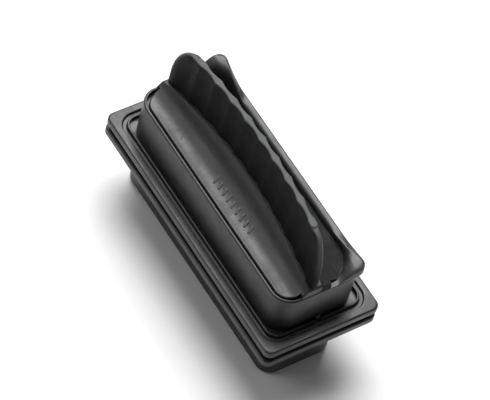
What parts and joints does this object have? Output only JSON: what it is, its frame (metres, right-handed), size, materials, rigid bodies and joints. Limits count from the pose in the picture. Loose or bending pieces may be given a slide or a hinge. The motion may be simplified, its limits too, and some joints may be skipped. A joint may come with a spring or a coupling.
{
  "type": "magnetic glass cleaner",
  "caption": "Two-part magnetic glass cleaner: a dry half with a bowed, fluted grip between finger scoops, held by magnets to a wet half with a scrubbing pad.",
  "frame": {"origin": "middle of the wet half's resting face, under the centre of the whole cleaner", "axes": "+Z from the wet half up through the dry half to the handle, +X along the handle's length, +Y across it"},
  "size_m": [0.1, 0.0422, 0.0681],
  "materials": {
    "case_plastic": "satin black moulded plastic",
    "handle_plastic": "satin charcoal moulded plastic",
    "grip_rubber": "matt black soft rubber",
    "gasket_rubber": "matt",
    "frame_plastic": "matt grey",
    "ferrite": "sintered dark grey",
    "yoke_steel": "zinc plated",
    "foam": "closed-cell foam",
    "felt": "pressed felt",
    "tape": "film",
    "hook_fabric": "woven hook tape",
    "scrub_fabric": "looped nylon scrubbing fabric"
  },
  "bodies": {
    "inner_half": {"inner_case": "case_plastic", "inner_gasket": "gasket_rubber", "inner_foam": "foam", "inner_yoke": "yoke_steel", "inner_magnet_frame": "frame_plastic", "inner_magnet_left": "ferrite", "inner_magnet_right": "ferrite", "inner_tray": "case_plastic", "hook_sheet": "hook_fabric", "scrub_pad": "scrub_fabric"},
    "outer_half": {"felt_pad": "felt", "felt_tape": "tape", "outer_tray": "case_plastic", "outer_magnet_left": "ferrite", "outer_magnet_right": "ferrite", "outer_magnet_frame": "frame_plastic", "outer_yoke": "yoke_steel", "outer_foam": "foam", "outer_case": "case_plastic", "handle_panel": "handle_plastic", "grip": "grip_rubber"}
  },
  "joints": [
    {"name": "half_separation", "type": "slide", "parent": "inner_half", "child": "outer_half", "axis": [0, 0, 1], "range_m": [0, 0.06]}
  ]
}
